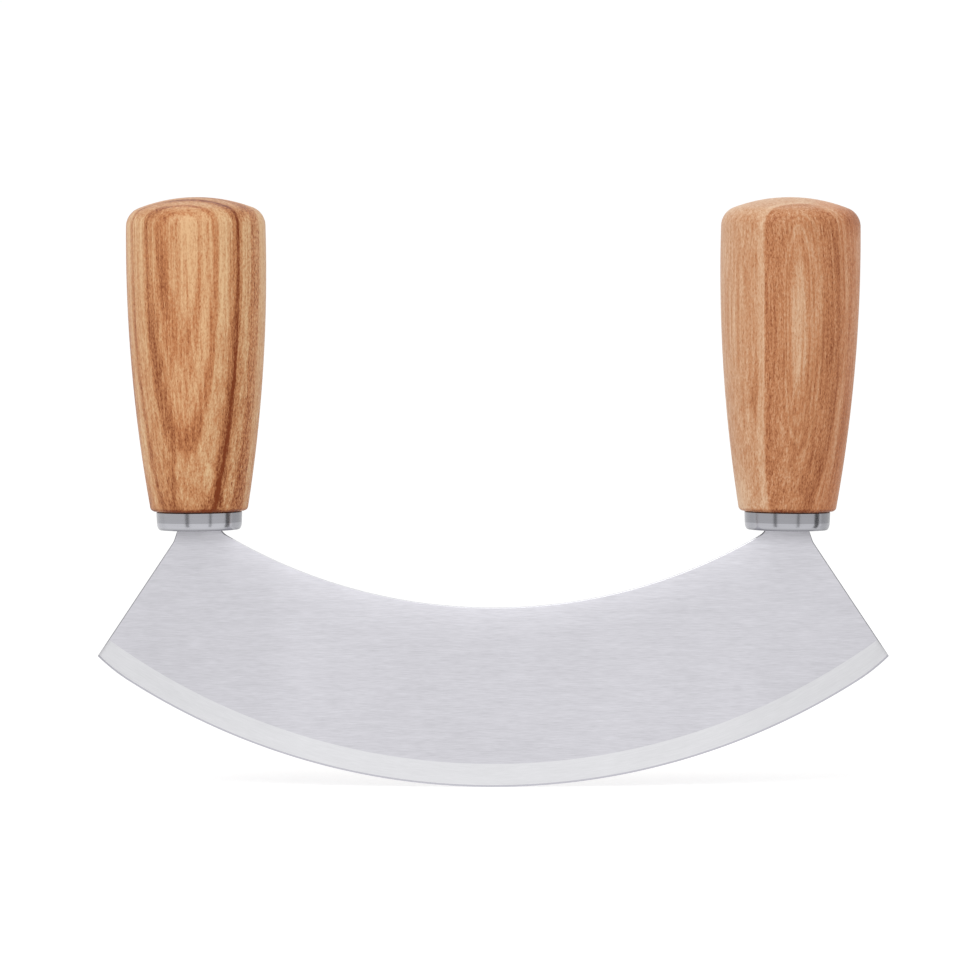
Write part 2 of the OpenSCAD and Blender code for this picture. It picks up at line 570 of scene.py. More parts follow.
@dataclass(frozen=True)
class SteelFinish:
    """A steel surface with fine lines in it."""

    name: str
    lay: Lay
    colour: Colour
    roughness: float
    line_length_mm: float
    line_width_mm: float
    contrast: float
    anisotropy: float
    cloud: float = 0.0
    shades: tuple[Shade, ...] = ()
    polish: Polish | None = None
    line_depth: float = 1.5e-6
    line_gloss: float = 0.3
    line_turn: float = 0.25
    band_share: float = 0.4
    cloud_scale: tuple[float, float, float] = (0.055, 0.055, 0.022)
    mark_size_mm: float = 22.0
    mark_tone: float = 0.012
    mark_roughness: float = 0.05
    edge_radius: float = 0.1714

    def drawn_place(self, wires: Wiring, place: Socket, seat: Seat | None) -> tuple[Socket, Socket]:
        """Lays a place out so that its X runs along the lines.

        Args:
            wires: The material's wiring.
            place: The place in millimetres.
            seat: What the lines go around, where they go around an axis.

        Returns:
            The place in units of one line's length and width, and the place that shades are read at.
        """
        given = place
        if self.lay is Lay.ALONG_EDGE:
            centre = (0.0, 0.0, self.edge_radius / MILLIMETRE)
            x, y, z = wires.split(wires.vector("SUBTRACT", place, centre))
            radius = wires.length(wires.join(x, 0.0, z))
            turn = wires.math("ARCTAN2", x, wires.math("MULTIPLY", z, -1.0))
            place = wires.join(wires.math("MULTIPLY", turn, centre[2]), y, radius)
        if self.lay is Lay.AROUND_AXIS:
            foot = seat.foot / MILLIMETRE
            feeds = {"Vector": place, "Location": tuple(foot), "Rotation": (0.0, seat.turn, 0.0)}
            given = wires.node("ShaderNodeMapping", feeds, vector_type="TEXTURE").outputs[0]
            x, y, height = wires.split(given)
            radius = wires.length(wires.join(x, y, 0.0))
            place = wires.join(x, y, wires.math("SUBTRACT", height, radius))
            scale = (self.line_length_mm, self.line_length_mm, self.line_width_mm)
            return wires.vector("DIVIDE", place, scale), given
        scale = (self.line_length_mm, self.line_width_mm, self.line_width_mm)
        return wires.vector("DIVIDE", place, scale), given

    def shaded(self, wires: Wiring, level: Socket, place: Socket) -> Socket:
        """Changes a level by the finish's painted shades and its strip of painted sheen.

        Args:
            wires: The material's wiring.
            level: The level without them.
            place: The place in millimetres.

        Returns:
            The level with them.
        """
        parts = wires.split(place)
        for shade in self.shades:
            where = parts[shade.along.value]
            change = wires.spread(where, shade.start_mm, shade.end_mm, shade.first, shade.second)
            if shade.side:
                out = wires.math("MULTIPLY", parts[0], float(shade.side.value))
                change = wires.math("MULTIPLY", change, wires.math("GREATER_THAN", out, 0.0))
            level = wires.math("MULTIPLY", level, wires.math("ADD", change, 1.0))
        # The painted sheen: a painted reflection that brightens the steel near the concave back.
        if self.polish:
            rise = wires.math("SUBTRACT", parts[2], self.polish.centre_mm)
            radius = wires.length(wires.join(parts[0], 0.0, rise))
            off = wires.math("SUBTRACT", radius, self.polish.radius_mm)
            near = wires.math("SUBTRACT", 1.0, wires.math("DIVIDE", off, self.polish.reach_mm))
            near = wires.math("MINIMUM", wires.math("MAXIMUM", near, 0.0), 1.0)
            near = wires.math("POWER", near, self.polish.fall)
            gain = wires.math("MULTIPLY_ADD", near, self.polish.gain, 1.0)
            level = wires.math("MULTIPLY", level, gain)
        return level

    def material(self, effects: Effects, seat: Seat | None = None) -> bpy.types.Material:
        """Makes the material.

        Args:
            effects: The shared groups.
            seat: The handle's seat, where the lines go around it.

        Returns:
            The material.
        """
        material, wires, shader = new_material(self.name)
        raw = wires.node("ShaderNodeTexCoord").outputs["Object"]
        place = wires.vector("SCALE", raw)
        place.node.inputs["Scale"].default_value = 1 / MILLIMETRE
        drawn, shade_place = self.drawn_place(wires, place, seat)
        lines = effects.place(wires, effects.lines, {"Place": drawn})
        feeds = {"Place": place, "Size": self.mark_size_mm}
        marks = effects.place(wires, effects.handling, feeds).outputs["Marks"]
        swing = wires.swing(lines.outputs["Lines"], self.contrast)
        bands = wires.swing(lines.outputs["Bands"], self.contrast * self.band_share)
        swing = wires.math("ADD", swing, bands)
        worn = wires.math("MULTIPLY", marks, self.mark_tone)
        level = wires.math("SUBTRACT", wires.math("ADD", swing, 1.0), worn)
        clouds = wires.noise(wires.vector("MULTIPLY", place, self.cloud_scale), detail=1.0)
        level = wires.math("ADD", level, wires.swing(clouds, self.cloud))
        level = self.shaded(wires, level, shade_place)
        colour = wires.vector("MULTIPLY", linear(self.colour)[:3], wires.join(level, level, level))
        rough = wires.math("MULTIPLY_ADD", marks, self.mark_roughness, self.roughness)
        rough = wires.math("SUBTRACT", rough, wires.math("MULTIPLY", swing, self.line_gloss))
        bump = wires.node(
            "ShaderNodeBump",
            {"Height": lines.outputs["Lines"], "Distance": self.line_depth, "Strength": 1.0},
        )
        wires.feed(shader.inputs["Base Color"], colour)
        wires.feed(shader.inputs["Roughness"], rough)
        wires.feed(shader.inputs["Normal"], bump.outputs[0])
        shader.inputs["Metallic"].default_value = 1.0
        shader.inputs["Anisotropic"].default_value = self.anisotropy
        shader.inputs["Anisotropic Rotation"].default_value = self.line_turn
        return material


@dataclass(frozen=True)
class Ring:
    """The wood at one distance from the pith, with values between 0 and 1."""

    distance_mm: float
    tone: float
    coarse: float = 0.2
    red: float = 0.0


@dataclass(frozen=True)
class Streak:
    """A spindle of darker or lighter wood in a handle, or a patch of painted light or shade on it.

    Its middle is given to the right and in front of the handle's axis and above mid height.
    """

    right_mm: float
    front_mm: float
    up_mm: float
    half_width_mm: float
    half_height_mm: float
    gain: float
    half_depth_mm: float = 12.0


@dataclass(frozen=True)
class Log:
    """How a handle lies in the log that it was turned from.

    The pith is a bowed line, given in millimetres from the handle's axis at mid height, with
    its drift and its bow for each mid height above. The rings left and right of it are apart,
    and so is how much lighter they grow for each mid height. They meet over a seam, whose half
    width is given as a share of the distance from the pith. The innermost rings lie round a
    heart that is off the pith by an offset to the right.
    """

    pith: tuple[float, float]
    drift: tuple[float, float]
    bow: tuple[float, float]
    left: tuple[Ring, ...]
    right: tuple[Ring, ...]
    height_tone: tuple[float, float]
    heart_offset: float
    heart_reach: tuple[float, float]
    crown_tone: float
    streaks: tuple[Streak, ...] = ()
    seam: float = 0.13
    sway_mm: float = 0.35
    fray_mm: float = 0.16
    mid_mm: float = 40.0


@dataclass(frozen=True)
class WoodFinish:
    """Turned, sanded and oiled wood."""

    name: str
    log: Log
    dark: Colour
    middle: Colour
    light: Colour
    flush: Colour
    contrast: float = 1.0
    foot_mm: float = 5.0
    foot_fade: float = 0.02
    foot_tone: float = -0.35
    crown_reach: tuple[float, float] = (0.94, 1.04)
    drift_tone: float = 0.1
    pore_depth: float = 4e-5
    ior: float = 1.45
    specular: float = 0.25

    def material(self, effects: Effects, seat: Seat) -> bpy.types.Material:
        """Makes the material of one handle.

        Args:
            effects: The shared groups.
            seat: The handle's seat, which the log is placed by.

        Returns:
            The material.
        """
        material, wires, shader = new_material(self.name)
        raw = wires.node("ShaderNodeTexCoord").outputs["Object"]
        axis = Vector((math.sin(seat.turn), 0.0, math.cos(seat.turn)))
        middle = seat.foot + self.log.mid_mm * MILLIMETRE * axis
        feeds = {"Vector": raw, "Location": tuple(middle), "Rotation": (0.0, seat.turn, 0.0)}
        feeds["Scale"] = (MILLIMETRE,) * 3
        local = wires.node("ShaderNodeMapping", feeds, vector_type="TEXTURE").outputs[0]
        grain, place, rise = self.from_pith(wires, local)
        feeds = {"Place": place, "Grain": grain, "Sway": self.log.sway_mm, "Fray": self.log.fray_mm}
        growth = effects.place(wires, effects.growth, feeds).outputs
        bearing = wires.math("DIVIDE", wires.split(place)[0], growth["Distance"])
        share = wires.spread(bearing, -self.log.seam, self.log.seam)
        tone, coarse, red = self.ring_values(wires, growth["Distance"], share)
        gain = wires.spread(share, 0.0, 1.0, *self.log.height_tone)
        drift = wires.swing(growth["Drift"], self.drift_tone)
        drift = wires.math("MULTIPLY_ADD", rise, gain, drift)
        # Painted shade, darker at the foot where the wood meets the ferrule.
        foot = self.foot_mm / self.log.mid_mm - 1.0
        shade = wires.spread(rise, foot, foot + self.foot_fade, self.foot_tone, 0.0)
        # Painted light on the crown, which makes the top of the dome darker on the left handle and lighter
        # on the right.
        crown = wires.spread(rise, *self.crown_reach, 0.0, self.log.crown_tone)
        shade = wires.math("ADD", shade, crown)
        for tone_patch in self.log.streaks:
            shade = wires.math("ADD", shade, self.streak_gain(wires, local, tone_patch))
        tone = wires.math("ADD", wires.math("ADD", tone, drift), shade)
        feeds = {"Tone": tone, "Coarse": coarse, "Red": red, "Contrast": self.contrast}
        feeds |= {label: growth[label] for label in ("Fibres", "Flecks", "Pores")}
        feeds |= {"Dark": linear(self.dark), "Middle": linear(self.middle)}
        feeds |= {"Light": linear(self.light), "Flush": linear(self.flush)}
        surface = effects.place(wires, effects.surface, feeds).outputs
        bump = wires.node("ShaderNodeBump", {"Height": surface["Height"], "Distance": self.pore_depth})
        wires.feed(shader.inputs["Base Color"], surface["Color"])
        wires.feed(shader.inputs["Roughness"], surface["Roughness"])
        wires.feed(shader.inputs["Normal"], bump.outputs[0])
        shader.inputs["IOR"].default_value = self.ior
        shader.inputs["Specular IOR Level"].default_value = self.specular
        return material

    @staticmethod
    def streak_gain(wires: Wiring, local: Socket, tone_patch: Streak) -> Socket:
        """How much lighter or darker a streak or a patch of painted light makes the wood.

        Args:
            wires: The material's wiring.
            local: The place in millimetres from the middle of the handle's axis.
            tone_patch: The streak or patch of painted light.

        Returns:
            Its gain, eased to nothing at its outline.
        """
        off = wires.vector("SUBTRACT", local, (tone_patch.right_mm, -tone_patch.front_mm, tone_patch.up_mm))
        reach = (tone_patch.half_width_mm, tone_patch.half_depth_mm, tone_patch.half_height_mm)
        off = wires.vector("DIVIDE", off, reach)
        return wires.spread(wires.length(off), 0.0, 1.0, tone_patch.gain, 0.0)

    def from_pith(self, wires: Wiring, local: Socket) -> tuple[Socket, Socket, Socket]:
        """Measures places from the bowed pith.

        Args:
            wires: The material's wiring.
            local: The place in millimetres from the middle of the handle's axis.

        Returns:
            The place from the pith at its own height, the same from the rings' own centre, and
            that height in mid heights.
        """
        rise = wires.math("DIVIDE", wires.split(local)[2], self.log.mid_mm)
        rises = wires.join(rise, rise, rise)
        line = wires.vector("MULTIPLY_ADD", rises, (*self.log.bow, 0.0), (*self.log.drift, 0.0))
        line = wires.vector("MULTIPLY_ADD", rises, line, (*self.log.pith, 0.0))
        place = wires.vector("SUBTRACT", local, line)
        radius = wires.length(wires.vector("MULTIPLY", place, (1.0, 1.0, 0.0)))
        shift = wires.spread(radius, *self.log.heart_reach, self.log.heart_offset, 0.0)
        return place, wires.vector("SUBTRACT", place, wires.join(shift, 0.0, 0.0)), rise

    def ring_values(self, wires: Wiring, distance: Socket, share: Socket) -> tuple[Socket, Socket, Socket]:
        """Reads the growth rings.

        Args:
            wires: The material's wiring.
            distance: Distance from the pith, in millimetres.
            share: 0 left of the pith and 1 right of it.

        Returns:
            The tone, coarseness and redness of the wood there.
        """
        sides = []
        for rings in (self.log.left, self.log.right):
            first, last = rings[0].distance_mm, rings[-1].distance_mm
            position = wires.node("ShaderNodeMapRange", {0: distance, 1: first, 2: last}).outputs[0]
            ramp = wires.node("ShaderNodeValToRGB", {0: position})
            stops = ramp.color_ramp.elements
            while len(stops) < len(rings):
                stops.new(0.5)
            for i, ring in enumerate(rings):
                stops[i].position = (ring.distance_mm - first) / (last - first)
                stops[i].color = (ring.tone, ring.coarse, ring.red, 1.0)
            sides.append(ramp.outputs[0])
        both = wires.blend(share, *sides)
        return tuple(wires.node("ShaderNodeSeparateColor", {0: both}).outputs)


@dataclass(frozen=True)
class ResinFinish:
    """Hard cured resin, cloudy with fine bubbles."""

    name: str = "cured_resin"
    pale: Colour = (222, 208, 168)
    amber: Colour = (196, 168, 112)
    cloud_scale: float = 400.0
    bubble_scale: float = 2500.0
    bubble_reach: tuple[float, float] = (0.6, 0.75)
    bubble_depth: float = 5e-5
    bubble_roughness: float = 0.3
    roughness: float = 0.4

    def material(self) -> bpy.types.Material:
        """Makes the material.

        Returns:
            The material.
        """
        material, wires, shader = new_material(self.name)
        raw = wires.node("ShaderNodeTexCoord").outputs["Object"]
        clouds = wires.noise(raw, detail=3.0, scale=self.cloud_scale)
        bubbles = wires.noise(raw, detail=0.0, scale=self.bubble_scale)
        bubbles = wires.spread(bubbles, *self.bubble_reach)
        colour = wires.blend(clouds, linear(self.pale), linear(self.amber))
        rough = wires.math("MULTIPLY_ADD", bubbles, self.bubble_roughness, self.roughness)
        wires.feed(shader.inputs["Base Color"], colour)
        wires.feed(shader.inputs["Roughness"], rough)
        bump = wires.node("ShaderNodeBump", {"Height": bubbles, "Distance": self.bubble_depth})
        wires.feed(shader.inputs["Normal"], bump.outputs[0])
        return material


@dataclass(frozen=True)
class RimPoint:
    """A point of the blade's outline, with how the sheet's face meets its rim there."""

    point: Vector
    inward: Vector
    ease: float
    half: float
    zone: int


@dataclass
class CrescentBlade:
    """The blade, with its necks and its tangs, as one piece of steel."""

    length: float = 0.19998
    edge_radius: float = 0.17137
    edge_height: float = 0.00003
    depth: float = 0.0455
    thickness: float = 0.0018
    tip_lift: float = 0.0008
    tip_curl: float = 0.010
    bevel_width: float = 0.0059
    honed_width: float = 0.00045
    honed_thickness: float = 0.0003
    edge_thickness: float = 0.00006
    handle_inset: float = 0.02579
    seat_rise: float = 0.03197
    lean: float = math.radians(0.6)
    neck_width: float = 0.011
    neck_height: float = 0.003
    neck_flare: float = 0.001
    neck_outer_radius: float = 0.005
    throat_height: float = 0.0009
    throat_flare: float = 0.0006
    throat_radius: float = 0.0035
    tang_width: float = 0.007
    tang_thickness: float = 0.0016
    tang_length: float = 0.052
    rim_ease: float = 0.00022
    honed_ease: float = 0.000044
    edge_ease: float = 0.000011
    seat_ease: float = 0.00008
    crease: float = math.radians(35)
    ease_steps: int = 4
    edge_steps: int = 240
    back_steps: int = 48
    corner_steps: int = 10

    FLAT = 0
    BEVEL = 1
    RIM = 2
    BACK = 3
    HONED = 4

    @property
    def centre(self) -> Vector:
        """The centre of the cutting edge's circle."""
        return Vector((0.0, self.edge_height + self.edge_radius))

    @property
    def tip(self) -> Vector:
        """The right tip.

        Returns:
            The outermost point of the cutting edge.
        """
        half = self.length / 2
        drop = math.sqrt((self.edge_radius - self.tip_lift) ** 2 - half**2)
        return Vector((half, self.centre.y - drop))

    @property
    def throat(self) -> Vector:
        """The corner between the concave back and the right neck.

        Returns:
            Where they would meet without their round.
        """
        seat = self.seat(Side.RIGHT)
        reach = seat.reach - self.neck_width / 2 - self.throat_flare
        return Vector((reach, seat.height - self.throat_height))

    @property
    def back_radius(self) -> float:
        """The radius of the concave back, which runs through both throats and the blade's middle."""
        rise = self.throat.y - self.depth
        return (self.throat.x**2 + rise**2) / (2 * rise)

    def seat(self, side: Side) -> Seat:
        """The seat of one handle.

        Args:
            side: Which handle.

        Returns:
            Where it stands.
        """
        reach = self.length / 2 - self.handle_inset
        return Seat(side, reach, self.tip.y + self.seat_rise, self.lean)

    def on_seat(self, out: float, up: float = 0.0) -> Vector:
        """A point of the right seat.

        Args:
            out: How far out it lies from the handle's axis.
            up: How far up along the axis.

        Returns:
            The point.
        """
        seat = self.seat(Side.RIGHT)
        across = Vector((math.cos(self.lean), -math.sin(self.lean)))
        axis = Vector((math.sin(self.lean), math.cos(self.lean)))
        return Vector((seat.reach, seat.height)) + out * across + up * axis

    def upper_outline(self) -> list[tuple[Vector, int]]:
        """The outline's right half above the bevel, up the end, over the neck and along the back.

        Returns:
            Each point, with the zone of the stretch that begins at it.
        """
        shoulder = self.on_seat(self.neck_width / 2)
        inner = self.on_seat(-self.neck_width / 2)
        neck_foot = Vector((shoulder.x - self.on_seat(0).x + self.neck_flare, -self.neck_height))
        neck_foot = neck_foot + self.on_seat(0)
        throat = self.throat
        slope = math.asin(throat.x / self.back_radius)
        below = Vector((0.0, throat.y - throat.x * math.tan(slope)))
        neck = rounded(self.tip, neck_foot, shoulder, self.neck_outer_radius, self.corner_steps)
        throat_round = rounded(inner, throat, below, self.throat_radius, self.corner_steps)
        centre = Vector((0.0, self.depth + self.back_radius))
        start = heading(throat_round[-1] - centre)
        back = arc(centre, self.back_radius, start, -math.pi / 2, self.back_steps)
        outline = [(p, self.RIM) for p in neck]
        outline += [(shoulder, self.RIM), (inner, self.RIM)]
        outline += [(p, self.RIM) for p in throat_round[:-1]]
        return outline + [(p, self.BACK) for p in back]

    def drawn_in(self, angle: float) -> float:
        """How far the edge is drawn in towards a tip.

        Args:
            angle: The angle from straight down, about the edge's centre.

        Returns:
            The distance.
        """
        tip_angle = math.atan2(self.tip.x, self.centre.y - self.tip.y)
        left = (tip_angle - abs(angle)) * self.edge_radius
        return self.tip_lift * max(0.0, 1 - left / self.tip_curl) ** 2

    def bevel_rows(self) -> list[tuple[float, float, float]]:
        """The lines along the bevel.

        Returns:
            How far each lies in from the edge, half the thickness there, and the rim's ease.
        """
        return [
            (0.0, self.edge_thickness / 2, self.edge_ease),
            (self.honed_width, self.honed_thickness / 2, self.honed_ease),
            (self.bevel_width, self.thickness / 2, self.rim_ease),
        ]

    def row_end(self, inset: float, ease: float) -> Vector:
        """Where a line along the bevel meets the inner side of the right end's rounded rim.

        Args:
            inset: How far the line lies in from the edge's own radius.
            ease: The rim's ease there.

        Returns:
            The point.
        """
        up = self.end_way()
        start = self.tip + ease * Vector((-up.y, up.x)) - self.centre
        along = start.dot(up)
        radius = self.edge_radius - inset
        if inset < self.bevel_width:
            radius -= self.tip_lift
        travel = -along - math.sqrt(along**2 - start.length_squared + radius**2)
        return self.centre + start + max(travel, 0.0) * up

    def end_way(self) -> Vector:
        """The direction up the right end, from the tip."""
        return (self.upper_outline()[0][0] - self.tip).normalized()

    def row(self, inset: float, ease: float) -> list[Vector]:
        """Points of a line along the bevel.

        Args:
            inset: How far the line lies in from the edge's own radius.
            ease: The rim's ease there.

        Returns:
            The points, from left to right.
        """
        end = self.row_end(inset, ease) - self.centre
        reach = math.atan2(end.x, -end.y)
        points = []
        for i in range(self.edge_steps + 1):
            angle = reach * (2 * i / self.edge_steps - 1)
            radius = self.edge_radius - inset
            if inset < self.bevel_width:
                radius -= self.drawn_in(angle)
            points.append(self.centre + radius * Vector((math.sin(angle), -math.cos(angle))))
        return points

    def rim(self, rows: list[list[Vector]]) -> list[RimPoint]:
        """The rim from the right tip, over the top, to the left tip.

        Args:
            rows: The lines along the bevel.

        Returns:
            The rim's points.
        """
        up = self.end_way()
        inward = Vector((-up.y, up.x))
        right = []
        for points, (_, half, ease) in zip(rows, self.bevel_rows(), strict=True):
            right.append(RimPoint(points[-1] - ease * inward, inward, ease, half, self.RIM))
        outline = self.upper_outline()
        seats = {self.on_seat(out * self.neck_width / 2).freeze() for out in (-1, 1)}
        points = [right[-1].point] + [p for p, _ in outline]
        points.append(Vector((-points[-2].x, points[-2].y)))
        for i, (point, zone) in enumerate(outline, 1):
            ways = [(points[i + k] - points[i + k - 1]).normalized() for k in (0, 1)]
            first, second = [Vector((-w.y, w.x)) for w in ways]
            mitre = (first + second) / (1 + first.dot(second))
            ease = self.seat_ease if point.copy().freeze() in seats else self.rim_ease
            right.append(RimPoint(point, mitre, ease, self.thickness / 2, zone))
        left = []
        for i in range(len(right) - 2, -1, -1):
            r = right[i]
            flipped = [Vector((-v.x, v.y)) for v in (r.point, r.inward)]
            left.append(RimPoint(*flipped, r.ease, r.half, r.zone))
        return right + left

    def build(self) -> bpy.types.Object:
        """Makes the blade's mesh.

        Returns:
            The blade, with each face numbered by its zone and no materials yet.
        """
        mesh = bmesh.new()
        rows = [self.row(inset, ease) for inset, _, ease in self.bevel_rows()]
        rim = self.rim(rows)
        count = len(rows)
        grids, loops = [], []
        for face in (-1, 1):
            grid = []
            for points, (_, half, _) in zip(rows, self.bevel_rows(), strict=True):
                grid.append([mesh.verts.new((p.x, face * half, p.y)) for p in points])
            grids.append(grid)
            loops.append(self.rim_loops(mesh, rim, grid, face))
        for grid, loop in zip(grids, loops, strict=True):
            for low, high, zone in ((0, 1, self.HONED), (1, 2, self.BEVEL)):
                self.strip(mesh, grid[low], grid[high], [zone] * self.edge_steps, sharp=True)
            self.face(mesh, grid[-1] + loop[0][count:-count], self.FLAT, smooth=False)
            for inner, outer in zip(loop, loop[1:], strict=False):
                self.strip(mesh, inner, outer, [r.zone for r in rim])
        self.strip(mesh, grids[0][0], grids[1][0], [self.RIM] * self.edge_steps, sharp=True)
        self.walls(mesh, rim, loops)
        for end in (0, -1):
            front, back = [[ring[end] for ring in loop] for loop in loops]
            self.face(mesh, front + back[::-1], self.RIM)
        return self.finished(mesh)

    def rim_loops(self, mesh: bmesh.types.BMesh, rim: list[RimPoint], grid: list, face: int) -> list[list]:
        """Corners of the rounded rim on one face, loop by loop from the flat out to the wall.

        Args:
            mesh: The mesh in work.
            rim: The rim's points.
            grid: The corners along the bevel, which the first loop shares.
            face: -1 for the front and 1 for the back.

        Returns:
            The loops of corners.
        """
        loops = []
        for step in range(self.ease_steps + 1):
            angle = math.pi / 2 * step / self.ease_steps
            loop = []
            for r in rim:
                inset = r.ease * (1 - math.sin(angle))
                height = r.half - r.ease * (1 - math.cos(angle))
                p = r.point + inset * r.inward
                loop.append((p.x, face * height, p.y))
            loops.append(loop)
        count = len(grid)
        shared = {i: grid[i][-1] for i in range(count)} | {-1 - i: grid[i][0] for i in range(count)}
        made = [[mesh.verts.new(co) for co in loop] for loop in loops[1:]]
        inner = [mesh.verts.new(co) for co in loops[0][count:-count]]
        first = [shared[i] for i in range(count)] + inner + [shared[-1 - i] for i in reversed(range(count))]
        return [first] + made

    def walls(self, mesh: bmesh.types.BMesh, rim: list[RimPoint], loops: list[list[list]]) -> None:
        """Closes the rim between the two faces, and raises a tang from each seat.

        Args:
            mesh: The mesh in work.
            rim: The rim's points.
            loops: The loops of corners on the front and on the back.
        """
        front, back = loops[0][-1], loops[1][-1]
        seats = [i for i in range(len(rim) - 1) if all(r.ease == self.seat_ease for r in rim[i : i + 2])]
        for i in range(len(rim) - 1):
            corners = [front[i], front[i + 1], back[i + 1], back[i]]
            if i in seats:
                self.tang(mesh, corners, Side.RIGHT if rim[i].point.x > 0 else Side.LEFT)
            else:
                self.face(mesh, corners, rim[i].zone)

    def tang(self, mesh: bmesh.types.BMesh, corners: list[bmesh.types.BMVert], side: Side) -> None:
        """Raises a tang.

        Args:
            mesh: The mesh in work.
            corners: The corners of its seat.
            side: The handle that it goes into.
        """
        half = self.tang_thickness / 2
        rings = []
        for up in (0.0, self.tang_length):
            ends = [self.on_seat(out * self.tang_width / 2, up) for out in (1, -1)]
            if side is Side.LEFT:
                ends = [Vector((-p.x, p.y)) for p in reversed(ends)]
            outer, inner = ends
            spots = ((outer, -half), (inner, -half), (inner, half), (outer, half))
            rings.append([mesh.verts.new((p.x, y, p.y)) for p, y in spots])
        for low, high in ((corners, rings[0]), (rings[0], rings[1])):
            for i in range(4):
                k = (i + 1) % 4
                self.face(mesh, [low[i], low[k], high[k], high[i]], self.RIM, smooth=False)
        self.face(mesh, rings[1], self.RIM, smooth=False)

    @staticmethod
    def face(mesh: bmesh.types.BMesh, corners: list, zone: int, smooth: bool = True) -> None:
        """Adds one face.

        Args:
            mesh: The mesh in work.
            corners: Its corners, in order.
            zone: Its zone.
            smooth: Whether it is shaded smooth.
        """
        made = mesh.faces.new(corners)
        made.material_index = zone
        made.smooth = smooth

    def strip(
        self, mesh: bmesh.types.BMesh, one: list, other: list, zones: list[int], sharp: bool = False
    ) -> None:
        """Adds a strip of faces between two lines of corners.

        Args:
            mesh: The mesh in work.
            one: The corners of the first line.
            other: The corners of the second.
            zones: The zone of each face.
            sharp: Whether the two lines stay crisp.
        """
        for i in range(len(one) - 1):
            self.face(mesh, [one[i], one[i + 1], other[i + 1], other[i]], zones[i])
            if sharp:
                for line in (one, other):
                    mesh.edges.get(line[i : i + 2]).smooth = False

    def finished(self, mesh: bmesh.types.BMesh) -> bpy.types.Object:
        """Turns the mesh's faces outwards and makes the object.

        Args:
            mesh: The finished mesh, which is freed.

        Returns:
            The blade.
        """
        bmesh.ops.recalc_face_normals(mesh, faces=mesh.faces)
        if mesh.calc_volume(signed=True) < 0:
            bmesh.ops.reverse_faces(mesh, faces=mesh.faces)
        for edge in mesh.edges:
            if edge.is_manifold and edge.calc_face_angle() > self.crease:
                edge.smooth = False
        data = bpy.data.meshes.new("crescent_blade")
        mesh.to_mesh(data)
        mesh.free()
        blade = bpy.data.objects.new("crescent_blade", data)
        bpy.context.scene.collection.objects.link(blade)
        return blade

    def flat_finish(self) -> SteelFinish:
        """The brushed flat, with painted shadow under the ferrules and a brighter painted sheen along the
        back.

        Returns:
            The finish.
        """
        seat_mm = self.seat(Side.RIGHT).height / MILLIMETRE
        radius_mm = self.back_radius / MILLIMETRE
        return SteelFinish(
            name="brushed_flat",
            lay=Lay.ALONG_BLADE,
            colour=(208, 207, 213),
            roughness=0.34,
            line_length_mm=3.5,
            line_width_mm=0.22,
            contrast=0.205,
            anisotropy=0.5,
            cloud=0.045,
            shades=(
                # Painted shade, darker towards both ends of the blade.
                Shade(Along.LENGTH, -70.0, -46.0, -0.05, 0.0),
                Shade(Along.LENGTH, 60.0, 88.0, 0.0, -0.025),
                # Painted shadow under each ferrule, stronger on the right.
                Shade(Along.HEIGHT, seat_mm - 3.9, seat_mm, 0.0, -0.18, Side.LEFT),
                Shade(Along.HEIGHT, seat_mm - 4.6, seat_mm, 0.0, -0.22, Side.RIGHT),
            ),
            # A painted reflection, brighter along the concave back.
            polish=Polish(
                centre_mm=self.depth / MILLIMETRE + radius_mm,
                radius_mm=radius_mm,
                reach_mm=15.0,
                gain=0.17,
            ),
        )

    @staticmethod
    def bevel_finish() -> SteelFinish:
        """The ground bevel: painted reflection makes it bright, painted shade darker towards both tips.

        Returns:
            The finish.
        """
        return SteelFinish(
            name="ground_bevel",
            lay=Lay.ALONG_EDGE,
            colour=(226, 226, 229),
            roughness=0.3,
            line_length_mm=3.5,
            line_width_mm=0.3,
            contrast=0.08,
            anisotropy=0.4,
            cloud=0.02,
            shades=(
                Shade(Along.LENGTH, -82.0, -40.0, -0.045, 0.0),
                Shade(Along.LENGTH, 40.0, 82.0, 0.0, -0.055),
            ),
        )

    def dress(self, blade: bpy.types.Object, effects: Effects) -> None:
        """Gives each zone its finish, and ties the piece to the frame.

        Args:
            blade: The blade.
            effects: The shared groups.
        """
        finishes = {
            self.FLAT: self.flat_finish(),
            self.BEVEL: self.bevel_finish(),
            # The rim's dark colour is painted shade, which draws the dark outline round the blade.
            self.RIM: SteelFinish(
                name="ground_rim",
                lay=Lay.ALONG_EDGE,
                colour=(150, 150, 154),
                roughness=0.3,
                line_length_mm=2.0,
                line_width_mm=0.15,
                contrast=0.1,
                anisotropy=0.2,
            ),
            self.BACK: SteelFinish(
                name="eased_back",
                lay=Lay.ALONG_BLADE,
                colour=(222, 222, 226),
                roughness=0.3,
                line_length_mm=2.0,
                line_width_mm=0.2,
                contrast=0.1,
                anisotropy=0.2,
            ),
            # The honed strip's darker colour is painted shade along the edge.
            self.HONED: SteelFinish(
                name="honed_strip",
                lay=Lay.ALONG_EDGE,
                colour=(196, 195, 203),
                roughness=0.28,
                line_length_mm=1.2,
                line_width_mm=0.1,
                contrast=0.12,
                anisotropy=0.2,
            ),
        }
        for zone in sorted(finishes):
            blade.data.materials.append(finishes[zone].material(effects))
        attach(blade, BODY)
        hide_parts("blade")


class Lathe:
    """Turns sections into solids of revolution with Geometry Nodes."""

    CREASE = math.radians(28)
    SEAM = 2e-6

    def __init__(self, steps: int = 160) -> None:
        """Builds the trees.

        Args:
            steps: Straight steps in one full turn.
        """
        self.steps = steps
        self.plain = self.tree(slotted=False)
        self.slotted = self.tree(slotted=True)

